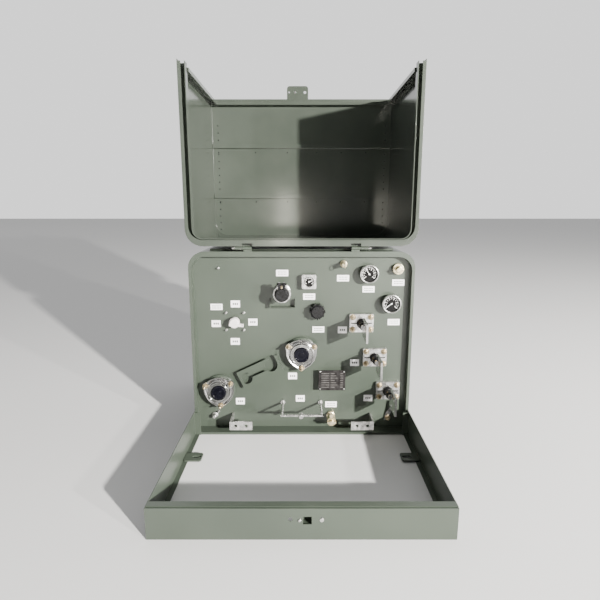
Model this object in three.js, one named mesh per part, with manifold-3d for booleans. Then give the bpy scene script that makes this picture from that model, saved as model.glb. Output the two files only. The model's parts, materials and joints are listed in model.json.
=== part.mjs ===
// Single-phase pad-mounted transformer, low-profile clamshell type, with its hood thrown back.
// Millimetres, +Z up. The origin lies on the ground, under the middle of the tank's front rim.
// The cabinet opens towards -Y, and +X is on the right of someone who faces it.

import * as THREE from 'three';
import { mergeVertices } from 'three/addons/utils/BufferGeometryUtils.js';
import Module from 'manifold-3d';

const kernel = await Module();
kernel.setup();

// ---- Driving dimensions -------------------------------------------------------------------

const GAP = 0.3;                // between pieces that touch
const SHEET = 3;                // hood and sill steel
const PLATE = 5;                // tank steel

const TANK_HALF = 470;          // half the tank's width
const TANK_TOP = 804;
const TANK_DEPTH = 560;
const CORNER = 70;              // bend radius of the upper corners
const RECESS = 30;              // front panel, behind the rim
const RIM_SIDE = 12;
const RIM_TOP = 22;
const FLOOR = 10;
const LEDGE = 22;               // floor plate, in front of the rim

const HOOD_HALF = 472;
const HOOD_TOP = 811;           // all hood heights are those of the closed hood
const HOOD_BOTTOM = 103;        // the skin laps outside the sill's top edge
const HOOD_FRONT = -594;
const HOOD_REAR = -2;
const HINGE_Y = -8;
const HINGE_Z = 819;
const HINGE_RADIUS = 7;
const PIN_RADIUS = 3.5;
const HINGE_CENTRE = 238;       // each hinge, from the middle of the object

const SILL_REACH = 590;         // rim to the sill's outer front face
const SILL_HALF = 468;
const SILL_HEIGHT = 107;
const SILL_FACE = 105;          // top of the front's outer face
const SILL_WIDTH = 28;          // top flange's inner edge, from the front's outer face

const LOCK_X = -34;             // captive bolt, and its hole in the sill
const LOCK_Z = 69;
const BOLT_TRAVEL = 18;
const PADLOCK_X = 17;            // window for a padlock
const SPARE_HOLE_X = 60;

const PANEL = RECESS + GAP;     // the front panel's face, along Y
const FACE = PANEL - GAP;       // where a piece mounted on that face begins

// ---- Materials ----------------------------------------------------------------------------

function finish(color, roughness, metalness) {
  return new THREE.MeshStandardMaterial({ color, roughness, metalness });
}

const paint = finish(0x8c9486, 0.45, 0.1);
const innerPaint = finish(0x7f877b, 0.35, 0.1);
const zinc = finish(0xb9bab6, 0.35, 0.9);
const castMetal = finish(0xc9c8c4, 0.4, 0.85);
const brass = finish(0xb08d4a, 0.35, 0.9);
const blackMoulding = finish(0x17181b, 0.5, 0);
const whiteMoulding = finish(0xe4e4df, 0.45, 0);
const navyCap = finish(0x1a1c2a, 0.45, 0);
const copper = finish(0xb06a45, 0.4, 0.9);
const coreSteel = finish(0x5b5f66, 0.5, 0.7);
const paperWrap = finish(0xa98b5d, 0.85, 0);
const dial = finish(0x101113, 0.4, 0);
const needle = finish(0xe8e8e8, 0.5, 0);
const etchedPlate = finish(0x54565a, 0.35, 0.8);

// ---- Solids -------------------------------------------------------------------------------

// A closed three.js geometry as a solid that can be joined and cut.
function solidOf(geometry) {
  const bare = geometry.clone();
  for (const name of Object.keys(bare.attributes)) {
    if (name !== 'position') bare.deleteAttribute(name);
  }
  const merged = mergeVertices(bare, 1e-4);
  const index = merged.index.array;
  const corners = [];
  for (let i = 0; i < index.length; i += 3) {
    const [a, b, c] = [index[i], index[i + 1], index[i + 2]];
    if (a !== b && b !== c && c !== a) corners.push(a, b, c);
  }
  return new kernel.Manifold(new kernel.Mesh({
    numProp: 3,
    vertProperties: new Float32Array(merged.attributes.position.array),
    triVerts: new Uint32Array(corners),
  }));
}

function geometryOf(solid) {
  const { vertProperties, triVerts } = solid.getMesh();
  const geometry = new THREE.BufferGeometry();
  geometry.setAttribute('position', new THREE.BufferAttribute(vertProperties, 3));
  geometry.setIndex(new THREE.BufferAttribute(triVerts, 1));
  geometry.computeVertexNormals();
  return geometry;
}

function join(...solids) {
  return solids.reduce((whole, piece) => whole.add(piece));
}

function cut(solid, ...tools) {
  return tools.reduce((rest, tool) => rest.subtract(tool), solid);
}

function block(x0, x1, y0, y1, z0, z1) {
  const box = new THREE.BoxGeometry(x1 - x0, y1 - y0, z1 - z0);
  return solidOf(box.translate((x0 + x1) / 2, (y0 + y1) / 2, (z0 + z1) / 2));
}

// Round bars along the three axes.
function barY(x, z, radius, y0, y1, sides = 16) {
  const bar = new THREE.CylinderGeometry(radius, radius, y1 - y0, sides);
  return solidOf(bar.translate(x, (y0 + y1) / 2, z));
}

function barX(y, z, radius, x0, x1, sides = 16) {
  const bar = new THREE.CylinderGeometry(radius, radius, x1 - x0, sides).rotateZ(Math.PI / 2);
  return solidOf(bar.translate((x0 + x1) / 2, y, z));
}

function barZ(x, y, radius, z0, z1, sides = 12) {
  const bar = new THREE.CylinderGeometry(radius, radius, z1 - z0, sides).rotateX(Math.PI / 2);
  return solidOf(bar.translate(x, y, (z0 + z1) / 2));
}

// A prism whose outline is drawn in X and Z.
function alongY(shape, y0, y1, curveSegments = 6) {
  const options = { depth: y1 - y0, bevelEnabled: false, curveSegments };
  const prism = new THREE.ExtrudeGeometry(shape, options).rotateX(Math.PI / 2);
  return solidOf(prism.translate(0, y1, 0));
}

// A prism whose outline is drawn in X and Y.
function alongZ(shape, z0, z1, curveSegments = 5) {
  const options = { depth: z1 - z0, bevelEnabled: false, curveSegments };
  return solidOf(new THREE.ExtrudeGeometry(shape, options).translate(0, 0, z0));
}

// A piece turned about an axis through the panel. The profile is [radius, distance out from
// the panel's face] and runs from the innermost point on the axis to the outermost.
function turned(x, z, profile, sides = 20) {
  const points = profile.map(([radius, out]) => new THREE.Vector2(radius, FACE - out)).reverse();
  return solidOf(new THREE.LatheGeometry(points, sides).translate(x, 0, z));
}

// ---- Outlines -----------------------------------------------------------------------------

function rectangle(width, height, radius = 0, centreX = 0, centreY = 0) {
  const [w, h] = [width / 2, height / 2];
  const shape = new THREE.Shape();
  shape.moveTo(centreX - w + radius, centreY - h);
  for (const [sx, sy, start] of [[1, -1, -0.5], [1, 1, 0], [-1, 1, 0.5], [-1, -1, 1]]) {
    const [cx, cy] = [centreX + sx * (w - radius), centreY + sy * (h - radius)];
    if (radius > 0) shape.absarc(cx, cy, radius, start * Math.PI, (start + 0.5) * Math.PI, false);
    else shape.lineTo(cx, cy);
  }
  return shape;
}

// The tank's and hood's section: square at the bottom, rounded at the two upper corners.
function arch(half, top, bottom, radius) {
  const shape = new THREE.Shape();
  shape.moveTo(-half, bottom);
  shape.lineTo(half, bottom);
  shape.absarc(half - radius, top - radius, radius, 0, Math.PI / 2, false);
  shape.absarc(-half + radius, top - radius, radius, Math.PI / 2, Math.PI, false);
  return shape;
}

// A strip of that section, from one inset to another, along its two sides and its top.
function archStrip(half, top, bottom, radius, from, to, y0, y1) {
  const outer = alongY(arch(half - from, top - from, bottom, radius - from), y0, y1);
  const inner = alongY(arch(half - to, top - to, bottom - 1, radius - to), y0 - 1, y1 + 1);
  return cut(outer, inner);
}

// A three-sided plate with bowed edges and rounded corners.
function bowedTriangle(radius, tip) {
  const corners = [90, 210, 330].map((angle) => THREE.MathUtils.degToRad(angle + 180));
  const points = [];
  for (const corner of corners) {
    for (const step of [-60, -30, 0, 30, 60]) {
      const turn = corner + THREE.MathUtils.degToRad(step);
      points.push(new THREE.Vector2(
        (radius - tip) * Math.cos(corner) + tip * Math.cos(turn),
        (radius - tip) * Math.sin(corner) + tip * Math.sin(turn),
      ));
    }
    const middle = corner + Math.PI / 3;
    const bow = radius * 0.84;
    for (const step of [-24, 0, 24]) {
      const turn = middle + THREE.MathUtils.degToRad(step);
      const reach = bow * (1 + 0.0008 * Math.abs(step));
      points.push(new THREE.Vector2(reach * Math.cos(turn), reach * Math.sin(turn)));
    }
  }
  return new THREE.Shape(points);
}

// ---- The assembly -------------------------------------------------------------------------

const transformer = new THREE.Group();

// The open hood is the closed one turned half a turn about the hinge line.
const hood = new THREE.Group();
hood.position.set(0, HINGE_Y, HINGE_Z);
hood.rotation.x = Math.PI;
transformer.add(hood);

function add(name, solid, material, parent = transformer) {
  const mesh = new THREE.Mesh(geometryOf(solid), material);
  mesh.name = name;
  parent.add(mesh);
}

function addToHood(name, solid, material) {
  add(name, solid.translate([0, -HINGE_Y, -HINGE_Z]), material, hood);
}

const SIDES = [['left', -1], ['right', 1]];

// Spans along X are given from the middle of the object outwards, then put on either side.
function spanOn(side, near, far) {
  return side < 0 ? [-far, -near] : [near, far];
}

// ---- Tank: bent steel wrapper, back, floor with a ledge, and a folded front rim -------------

const COVER = { half: 390, y0: 62, y1: 538, thickness: 6 };

function tankShell() {
  const wrapper = archStrip(TANK_HALF, TANK_TOP, 0, CORNER, 0, PLATE, 0, TANK_DEPTH);
  const back = alongY(arch(TANK_HALF, TANK_TOP, 0, CORNER), TANK_DEPTH - PLATE, TANK_DEPTH);
  const floor = block(-TANK_HALF, TANK_HALF, -LEDGE, TANK_DEPTH, 0, FLOOR);
  const rim = cut(
    alongY(arch(TANK_HALF, TANK_TOP, 0, CORNER), 0, RECESS),
    alongY(arch(TANK_HALF - RIM_SIDE, TANK_TOP - RIM_TOP, -1, CORNER - RIM_SIDE), -1, RECESS + 1),
  );
  const topOpening = block(-360, 360, 92, 508, TANK_TOP - 20, TANK_TOP + 1);
  return cut(join(wrapper, back, floor, rim), topOpening);
}

add('tank_shell', tankShell(), paint);
add('tank_cover', join(
  block(-COVER.half, COVER.half, COVER.y0, COVER.y1, TANK_TOP + GAP, TANK_TOP + COVER.thickness),
  alongZ(rectangle(220, 160, 20, 0, 300), TANK_TOP + COVER.thickness, TANK_TOP + 14, 4),
), paint);

// ---- Front panel, with the holes its fittings pass through -----------------------------------

// Places on the panel, as [x, z].
const HIGH_LEFT = [-360, 192];
const HIGH_RIGHT = [-1, 364];
const LOW_VOLTAGE = { x3: [256, 495], x1: [317, 341], x2: [379, 187] };
const FUSE = [-81, 632];
const RELIEF = [176, 750];
const FILL = [404, 729];
const TAPS = [67, 549];
const SWITCH = [-286, 500];
const DRAIN = [130, 66];
const LEVEL = [31, 676];
const PRESSURE = [281, 710];
const THERMOMETER = [378, 583];

const WELL_HOLE = 46;
const BUSHING_HOLE = 20;
const FUSE_HOLE = 24;
const FITTING_HOLE = 13;

function frontPanel() {
  const inset = PLATE + GAP;
  const outline = arch(TANK_HALF - inset, TANK_TOP - inset, FLOOR + GAP, CORNER - inset);
  const holes = [
    ...[HIGH_LEFT, HIGH_RIGHT].map((place) => [place, WELL_HOLE]),
    ...Object.values(LOW_VOLTAGE).map((place) => [place, BUSHING_HOLE]),
    [FUSE, FUSE_HOLE],
    ...[RELIEF, FILL, TAPS, SWITCH, DRAIN].map((place) => [place, FITTING_HOLE]),
  ];
  return cut(
    alongY(outline, PANEL, PANEL + PLATE),
    ...holes.map(([[x, z], radius]) => barY(x, z, radius, PANEL - 1, PANEL + PLATE + 1, 14)),
  );
}

add('front_panel', frontPanel(), paint);

// ---- Core and coils ---------------------------------------------------------------------------

const CORE = { y0: 230, y1: 370, z0: 130, z1: 630, yoke: 80, inside: 3, leg: 80, window: 122 };
const COIL_MIDDLE = (CORE.y0 + CORE.y1) / 2;

function coreLoop(side) {
  const inner = CORE.inside + CORE.leg;
  const outer = inner + CORE.window + CORE.leg;
  const [left, right] = side < 0 ? [-outer, -CORE.inside] : [CORE.inside, outer];
  const [windowLeft, windowRight] = [left + CORE.leg, right - CORE.leg];
  return cut(
    block(left, right, CORE.y0, CORE.y1, CORE.z0, CORE.z1),
    block(windowLeft, windowRight, CORE.y0 - 1, CORE.y1 + 1, CORE.z0 + CORE.yoke, CORE.z1 - CORE.yoke),
  );
}

// A coil is a rounded tube around the two middle legs.
function winding(windowHalf, depthHalf, thickness, z0, z1) {
  const inner = rectangle(2 * windowHalf, 2 * depthHalf, 12, 0, COIL_MIDDLE);
  const [outerX, outerY] = [windowHalf + thickness, depthHalf + thickness];
  const outer = rectangle(2 * outerX, 2 * outerY, 12 + thickness, 0, COIL_MIDDLE);
  return cut(alongZ(outer, z0, z1, 6), alongZ(inner, z0 - 1, z1 + 1, 6));
}

function coreClamp() {
  const half = 300;
  const [y0, y1] = [CORE.y0 - 20, CORE.y1 + 20];
  const bottom = block(-half, half, y0, y1, CORE.z0 - 20, CORE.z0 - GAP);
  const top = block(-half, half, y0, y1, CORE.z1 + GAP, CORE.z1 + 15);
  const straps = SIDES.map(([, side]) => {
    const [x0, x1] = side < 0 ? [-half, -half + 8] : [half - 8, half];
    return block(x0, x1, COIL_MIDDLE - 40, COIL_MIDDLE + 40, CORE.z0 - 20, CORE.z1 + 15);
  });
  const feet = SIDES.map(([, side]) => {
    const middle = side * 240;
    return block(middle - 30, middle + 30, y0, y1, FLOOR + GAP, CORE.z0 - 20);
  });
  return join(bottom, top, ...straps, ...feet);
}

for (const [name, side] of SIDES) add(`core_${name}`, coreLoop(side), coreSteel);
add('low_voltage_winding', winding(88, 76, 36, 222, 538), copper);
add('high_voltage_winding', winding(125, 113, 74, 226, 534), paperWrap);
add('core_clamp', coreClamp(), paint);

// ---- Sill: folded steel around the cable opening ---------------------------------------------

// Sections are drawn as [distance in from the outer face, height].
const FRONT_SECTION = [
  [0, 0], [0, SILL_FACE], [SHEET, SILL_FACE], [SHEET, 100], [7, 100], [7, SILL_HEIGHT],
  [SILL_WIDTH, SILL_HEIGHT], [SILL_WIDTH, 88], [SILL_WIDTH - SHEET, 88],
  [SILL_WIDTH - SHEET, SILL_HEIGHT - SHEET], [10, SILL_HEIGHT - SHEET], [10, 97], [SHEET, 97],
  [SHEET, SHEET], [22, SHEET], [22, 0],
];
const SIDE_SECTION = [
  [0, 0], [0, SILL_HEIGHT], [SHEET, SILL_HEIGHT], [SHEET, SHEET], [22, SHEET], [22, 0],
];

function sillSide(side) {
  const length = SILL_REACH - SILL_WIDTH - 2 * GAP;
  const shape = new THREE.Shape(SIDE_SECTION.map(([inward, z]) => (
    new THREE.Vector2(side * (SILL_HALF - inward), z))));
  const angle = alongY(shape, -GAP - length, -GAP);
  const [x0, x1] = spanOn(side, SILL_HALF - SILL_WIDTH, SILL_HALF);
  const endPlate = block(x0, x1, -LEDGE - GAP - SHEET, -LEDGE - GAP, 0, SILL_HEIGHT - SHEET);
  const heel = block(x0 - 1, x1 + 1, -LEDGE - GAP, 0, -1, FLOOR + GAP);
  return cut(join(angle, endPlate), heel);
}

// A pocket welded behind the padlock window keeps the lock's space closed from inside.
const LOCK_POCKET = { half: 19, low: 46, high: 84, depth: 22 };

function sillFront() {
  const shape = new THREE.Shape(FRONT_SECTION.map(([inward, z]) => new THREE.Vector2(inward, z)));
  const channel = new THREE.ExtrudeGeometry(shape, { depth: 2 * SILL_HALF, bevelEnabled: false });
  // The outline's two axes become Y and Z, and its depth becomes X.
  const toLength = new THREE.Matrix4().makeBasis(
    new THREE.Vector3(0, 1, 0), new THREE.Vector3(0, 0, 1), new THREE.Vector3(1, 0, 0));
  channel.applyMatrix4(toLength).translate(-SILL_HALF, -SILL_REACH, 0);
  const ends = SIDES.map(([, side]) => {
    const [x0, x1] = spanOn(side, SILL_HALF - SHEET, SILL_HALF);
    return block(x0, x1, -SILL_REACH, -SILL_REACH + SILL_WIDTH, 0, SILL_FACE);
  });
  const [near, far] = [-SILL_REACH - 1, -SILL_REACH + SHEET + 1];
  const { half, low, high, depth } = LOCK_POCKET;
  const pocket = cut(
    block(PADLOCK_X - half, PADLOCK_X + half, far - 2, far + depth, low, high),
    block(
      PADLOCK_X - half + SHEET, PADLOCK_X + half - SHEET, far - 3, far + depth - SHEET,
      low + SHEET, high - SHEET),
  );
  return cut(
    join(solidOf(channel), ...ends, pocket),
    barY(LOCK_X, LOCK_Z, 7, near, far),
    barY(SPARE_HOLE_X, LOCK_Z, 7, near, far),
    block(PADLOCK_X - 13, PADLOCK_X + 13, near, far, LOCK_Z - 17, LOCK_Z + 9),
  );
}

// A slotted tab that lies on the side's bottom flange.
const TIE_DOWN = { x: 429, y: -194, slotX: 416, top: 9 };

function tieDown(side) {
  const { x, y, slotX, top } = TIE_DOWN;
  const plate = alongZ(rectangle(70, 50, 9, side * x, y), SHEET + GAP, top, 4);
  const slot = alongZ(rectangle(34, 14, 6.9, side * slotX, y), 0, top + 1, 4);
  return cut(plate, slot);
}

for (const [name, side] of SIDES) {
  add(`sill_${name}`, sillSide(side), paint);
  add(`tie_down_${name}`, tieDown(side), paint);
}
add('sill_front', sillFront(), paint);

// ---- Hood: bent skin with a front plate, edge frame, hem and hasp ------------------------------

const KNUCKLE = { inner: HINGE_CENTRE - 34, middle: HINGE_CENTRE + 0.5, outer: HINGE_CENTRE + 34 };

// The rear edge's return flange is wider along the roof, and an inner wall stands behind a gap.
const EDGE = { side: 14, top: 26, wall: 31, depth: 28, bottom: HOOD_BOTTOM + 6 };
const RIB = { depth: 12, height: 24, levels: [326, 585] };

function hoodShell() {
  const outside = alongY(arch(HOOD_HALF, HOOD_TOP, HOOD_BOTTOM, CORNER), HOOD_FRONT, HOOD_REAR);
  const inside = alongY(
    arch(HOOD_HALF - SHEET, HOOD_TOP - SHEET, HOOD_BOTTOM - 1, CORNER - SHEET),
    HOOD_FRONT + SHEET, HOOD_REAR + 1);
  const flange = cut(
    alongY(arch(HOOD_HALF - 1, HOOD_TOP - 1, EDGE.bottom, CORNER - 1), HOOD_REAR - SHEET, HOOD_REAR),
    alongY(
      arch(HOOD_HALF - EDGE.side, HOOD_TOP - EDGE.top, HOOD_BOTTOM, CORNER - EDGE.side),
      HOOD_REAR - SHEET - 1, HOOD_REAR + 1),
  );
  const ribs = RIB.levels.map((z) => block(
    -HOOD_HALF + SHEET + 1, HOOD_HALF - SHEET - 1,
    HOOD_FRONT + SHEET - 1, HOOD_FRONT + SHEET + RIB.depth, z, z + RIB.height));
  const notches = SIDES.map(([, side]) => {
    const [x0, x1] = spanOn(side, KNUCKLE.inner - 4, KNUCKLE.middle + 3);
    return block(x0, x1, HINGE_Y - 8, 0, HOOD_TOP - 12, HOOD_TOP + 1);
  });
  return cut(join(cut(outside, inside), flange, ...ribs), ...notches);
}

// The stiffener round the rear opening: an inner wall, joined to the skin at its far edge.
function hoodEdgeFrame() {
  const back = HOOD_REAR - EDGE.depth;
  const strip = (from, y0, y1) => (
    archStrip(HOOD_HALF, HOOD_TOP, EDGE.bottom, CORNER, from, EDGE.wall, y0, y1));
  return join(
    strip(EDGE.wall - SHEET, back - 1, HOOD_REAR - 2),
    strip(SHEET + GAP, back - SHEET, back),
  );
}

// The return flange along the lower edge of the sides and the front.
const HEM = { bottom: SILL_HEIGHT + 16, width: 33, lip: 15 };

function hoodHem() {
  const outside = HOOD_HALF - SHEET - GAP;
  const front = HOOD_FRONT + SHEET + GAP;
  const back = HOOD_REAR - EDGE.depth - 2 * SHEET;
  const { bottom, width, lip } = HEM;
  const around = (inset, z0, z1, end) => (
    block(-outside + inset, outside - inset, front + inset, back + end, z0, z1));
  const top = bottom + lip;
  const aboveFlange = cut(
    around(-1, bottom + SHEET, top + 1, 1),
    around(width - SHEET, bottom, top + 2, 2),
  );
  return cut(around(0, bottom, top, 0), around(width, bottom - 1, top + 1, 1), aboveFlange);
}

function hoodHasp() {
  const [x0, x1, z0, z1] = [-76, 34, 38, 150];
  const middle = (x0 + x1) / 2;
  const plate = alongY(
    rectangle(x1 - x0, z1 - z0, 14, middle, (z0 + z1) / 2),
    HOOD_FRONT - GAP - SHEET, HOOD_FRONT - GAP, 4);
  const [near, far] = [HOOD_FRONT - 10, HOOD_FRONT + 1];
  return cut(
    plate,
    barY(LOCK_X, LOCK_Z, 5.6, near, far, 16),
    barY(PADLOCK_X, LOCK_Z, 7, near, far, 16),
    barY(x0 + 12, LOCK_Z, 4, near, far, 12),
  );
}

// The captive bolt has a five-sided head. It is drawn backed out of the sill.
function lockBolt() {
  const tip = HOOD_FRONT + 0.5;
  const shoulder = HOOD_FRONT - GAP - SHEET - GAP - BOLT_TRAVEL;
  const shank = barY(LOCK_X, LOCK_Z, 5, shoulder - 1, tip, 12);
  const flange = barY(LOCK_X, LOCK_Z, 12, shoulder - 3, shoulder, 20);
  const head = barY(LOCK_X, LOCK_Z, 8.5, shoulder - 11, shoulder - 2, 5);
  return join(shank, flange, head);
}

addToHood('hood_shell', hoodShell(), innerPaint);
addToHood('hood_edge_frame', hoodEdgeFrame(), innerPaint);
addToHood('hood_hem', hoodHem(), innerPaint);
addToHood('hood_hasp', hoodHasp(), innerPaint);
addToHood('lock_bolt', lockBolt(), zinc);

// ---- Hinges: lift-off pattern, each with a fixed pin -------------------------------------------

function hingeBarrel(side, near, far) {
  return barX(HINGE_Y, HINGE_Z, HINGE_RADIUS, ...spanOn(side, near, far));
}

function hingeBore(side) {
  const [x0, x1] = spanOn(side, KNUCKLE.inner - 5, KNUCKLE.outer + 20);
  return barX(HINGE_Y, HINGE_Z, PIN_RADIUS + GAP, x0, x1);
}

function tankHinge(side) {
  const [x0, x1] = spanOn(side, KNUCKLE.inner, KNUCKLE.middle - 0.5);
  const riser = block(x0, x1, HINGE_Y + 3, HINGE_Y + 6.5, TANK_TOP + GAP, HINGE_Z - 2);
  const foot = block(x0, x1, HINGE_Y + 6, HINGE_Y + 53, TANK_TOP + GAP, TANK_TOP + SHEET);
  const barrel = hingeBarrel(side, KNUCKLE.inner, KNUCKLE.middle - 0.5);
  return cut(join(barrel, riser, foot), hingeBore(side));
}

function hoodHinge(side) {
  const [x0, x1] = spanOn(side, KNUCKLE.inner, KNUCKLE.outer);
  const leaf = block(x0, x1, HINGE_Y - 54, HINGE_Y - 12, HOOD_TOP + GAP, HOOD_TOP + SHEET);
  const [n0, n1] = spanOn(side, KNUCKLE.middle + 0.5, KNUCKLE.outer);
  const neck = block(n0, n1, HINGE_Y - 13, HINGE_Y, HOOD_TOP + GAP, HOOD_TOP + SHEET);
  const barrel = hingeBarrel(side, KNUCKLE.middle + 0.5, KNUCKLE.outer);
  return cut(join(barrel, leaf, neck), hingeBore(side));
}

for (const [name, side] of SIDES) {
  add(`hinge_tank_leaf_${name}`, tankHinge(side), paint);
  add(`hinge_pin_${name}`, join(
    barX(HINGE_Y, HINGE_Z, PIN_RADIUS, ...spanOn(side, KNUCKLE.inner + 2, KNUCKLE.outer + 10), 12),
    barX(HINGE_Y, HINGE_Z, PIN_RADIUS + 1.5, ...spanOn(side, KNUCKLE.outer + 1, KNUCKLE.outer + 12), 12),
  ), zinc);
  addToHood(`hinge_hood_leaf_${name}`, hoodHinge(side), innerPaint);
}

// ---- High-voltage bushing wells, their clamps and the parking stand -----------------------------

const CLAMP = { out: 28, thickness: 8, radius: 76, hole: 48 };

function bushingWell([x, z]) {
  return turned(x, z, [
    [0, -70], [28, -70], [WELL_HOLE - 2, -40], [WELL_HOLE - 2, GAP], [60, GAP], [60, 12],
    [55, CLAMP.out - GAP], [CLAMP.hole - 1, CLAMP.out - GAP], [CLAMP.hole - 1, 44], [42, 48],
    [36, 48], [33, 40], [31, 36], [0, 36],
  ]);
}

function bushingClamp([x, z], turn) {
  const plate = new THREE.ExtrudeGeometry(bowedTriangle(CLAMP.radius, 20), {
    depth: CLAMP.thickness, bevelEnabled: false,
  });
  plate.rotateZ(turn).rotateX(Math.PI / 2).translate(x, FACE - CLAMP.out, z);
  const [y0, y1] = [FACE - CLAMP.out - CLAMP.thickness - 1, FACE - CLAMP.out + 1];
  return cut(solidOf(plate), barY(x, z, CLAMP.hole, y0, y1, 24));
}

// The parking stand is a raised plate between the two wells, in line with them. A connector's foot
// goes in at the top, and slides along to either of two round seats.
const STAND = { length: 192, width: 82, thickness: 3, out: 20, radius: 6 };
const STAND_SEATS = [{ along: 56, across: 6, radius: 28 }, { along: -66, across: -1, radius: 26 }];
const STAND_MOUTH = { from: 58, to: 86 };
const STAND_SLIDE = { low: -6, high: 8 };

function parkingStand() {
  const { length, width, thickness, out, radius } = STAND;
  const face = alongY(rectangle(length, width, radius), -out - thickness, -out, 4);
  const ends = SIDES.map(([, side]) => {
    const [x0, x1] = spanOn(side, length / 2 - thickness, length / 2);
    return block(x0, x1, -out - thickness, 0, -width / 2 + radius, width / 2 - radius);
  });
  const [near, far] = [-out - thickness - 1, -out + 1];
  const seats = STAND_SEATS.map((seat) => barY(seat.along, seat.across, seat.radius, near, far, 24));
  const mouth = block(STAND_MOUTH.from, STAND_MOUTH.to, near, far, STAND_SEATS[0].across, width);
  const slide = block(
    STAND_SEATS[1].along, STAND_SEATS[0].along, near, far, STAND_SLIDE.low, STAND_SLIDE.high);
  const [dx, dz] = [HIGH_RIGHT[0] - HIGH_LEFT[0], HIGH_RIGHT[1] - HIGH_LEFT[1]];
  const slope = THREE.MathUtils.radToDeg(Math.atan2(dz, dx));
  const middle = [HIGH_LEFT[0] + dx / 2, FACE, HIGH_LEFT[1] + dz / 2];
  const stand = cut(join(face, ...ends), ...seats, mouth, slide);
  return stand.rotate([0, -slope, 0]).translate(middle);
}

const HIGH_VOLTAGE = [['left', HIGH_LEFT, 0.1], ['right', HIGH_RIGHT, 0]];
for (const [name, place, turn] of HIGH_VOLTAGE) {
  add(`bushing_well_${name}`, bushingWell(place), navyCap);
  add(`bushing_clamp_${name}`, bushingClamp(place, turn), castMetal);
}
add('parking_stand', parkingStand(), paint);

// ---- Low-voltage bushings: flange, moulded insulator and four-hole spade ------------------------

const FLANGE = { width: 102, height: 79, thickness: 8, out: 8 };
const SPADE = { thickness: 8, height: 76, from: 72, to: 170, pitch: 44.45, hole: 7.1 };
const INSULATOR_TIP = 66;

function bushingFlange([x, z]) {
  const outer = FLANGE.out + FLANGE.thickness;
  const plate = alongY(
    rectangle(FLANGE.width, FLANGE.height, 4, x, z), FACE - outer, FACE - GAP, 4);
  return cut(plate, barY(x, z, BUSHING_HOLE + 1, FACE - outer - 1, FACE + 1, 24));
}

function bushingInsulator([x, z]) {
  const seat = FLANGE.out + FLANGE.thickness + GAP;
  return turned(x, z, [
    [0, -46], [15, -46], [BUSHING_HOLE - 1, -20], [BUSHING_HOLE - 1, seat], [27, seat], [27, 26],
    [19, 32], [16, INSULATOR_TIP], [0, INSULATOR_TIP],
  ]);
}

function bushingSpade([x, z]) {
  const { thickness, height, from, to, pitch, hole } = SPADE;
  const [y0, y1] = [FACE - to, FACE - from];
  const blade = block(x - thickness / 2, x + thickness / 2, y0, y1, z - height / 2, z + height / 2);
  const neck = barY(x, z, 12, y1 - 10, FACE - INSULATOR_TIP - GAP, 16);
  const holes = [-1, 1].flatMap((up) => [0, 1].map((row) => (
    barX(y0 + 18 + row * pitch, z + up * pitch / 2, hole, x - 20, x + 20, 16))));
  return cut(join(blade, neck), ...holes);
}

for (const [name, place] of Object.entries(LOW_VOLTAGE)) {
  add(`flange_${name}`, bushingFlange(place), zinc);
  add(`insulator_${name}`, bushingInsulator(place), blackMoulding);
  add(`spade_${name}`, bushingSpade(place), castMetal);
}

// ---- Grounding: neutral strap, bus rod and two pads ----------------------------------------------

// A flat strap bent down from the neutral bushing's flange to a stud low on the panel.
function groundStrap() {
  const route = new THREE.CatmullRomCurve3([
    new THREE.Vector3(404, FACE - 17.5, 141), new THREE.Vector3(404, FACE - 20, 126),
    new THREE.Vector3(398, FACE - 16, 104), new THREE.Vector3(388, FACE - 8, 84),
    new THREE.Vector3(381, FACE - 5, 62), new THREE.Vector3(380, FACE - 4, 44),
  ]);
  const section = rectangle(20, 2.4);
  const options = { steps: 18, bevelEnabled: false, extrudePath: route };
  return solidOf(new THREE.ExtrudeGeometry(section, options));
}

// The rod stands out of the panel on two legs, and cables are clamped to it.
function groundBus() {
  const [half, z, reach, radius] = [83, 127, 120, 4.5];
  const legs = [-1, 1].map((side) => barY(side * half, z, radius, FACE - reach, FACE, 12));
  const feet = [-1, 1].map((side) => barY(side * half, z, 10, FACE - 5, FACE, 16));
  const rod = barX(FACE - reach, z, radius, -half - radius, half + radius, 12);
  return join(...legs, ...feet, rod);
}

const PAD = { length: 97, height: 38, z0: 39, reach: 83, thickness: 6, pitch: 44.45 };

function groundPad(side) {
  const [near, far] = [212, 212 + PAD.length];
  const [x0, x1] = spanOn(side, near, far);
  const z1 = PAD.z0 + PAD.height;
  const y0 = FACE - PAD.reach;
  const plate = block(x0, x1, y0, y0 + PAD.thickness, PAD.z0, z1);
  const [l0, l1] = spanOn(side, far - PAD.thickness, far);
  const leg = block(l0, l1, y0, FACE, PAD.z0, z1);
  const middle = (x0 + x1) / 2;
  const holes = [-1, 1].map((end) => (
    barY(middle + end * PAD.pitch / 2, (PAD.z0 + z1) / 2, 7, y0 - 1, y0 + PAD.thickness + 1, 16)));
  return cut(join(plate, leg), ...holes);
}

add('ground_strap', groundStrap(), copper);
add('ground_bus', groundBus(), castMetal);
for (const [name, side] of SIDES) add(`ground_pad_${name}`, groundPad(side), castMetal);

// ---- Bayonet fuse: holder in the panel, draw-out fuse and drip tray ---------------------------------

const STICK_RADIUS = 11;
const HOLDER_FACE = 66;

function fuseHolder() {
  const [x, z] = FUSE;
  const body = turned(x, z, [
    [0, -160], [FUSE_HOLE - 2, -160], [FUSE_HOLE - 2, GAP], [34, GAP], [34, 8], [27, 12], [27, 52],
    [34, 56], [34, HOLDER_FACE], [0, HOLDER_FACE],
  ]);
  return cut(body, barY(x, z, STICK_RADIUS + 1, FACE - HOLDER_FACE - 1, FACE + 150, 20));
}

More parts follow.
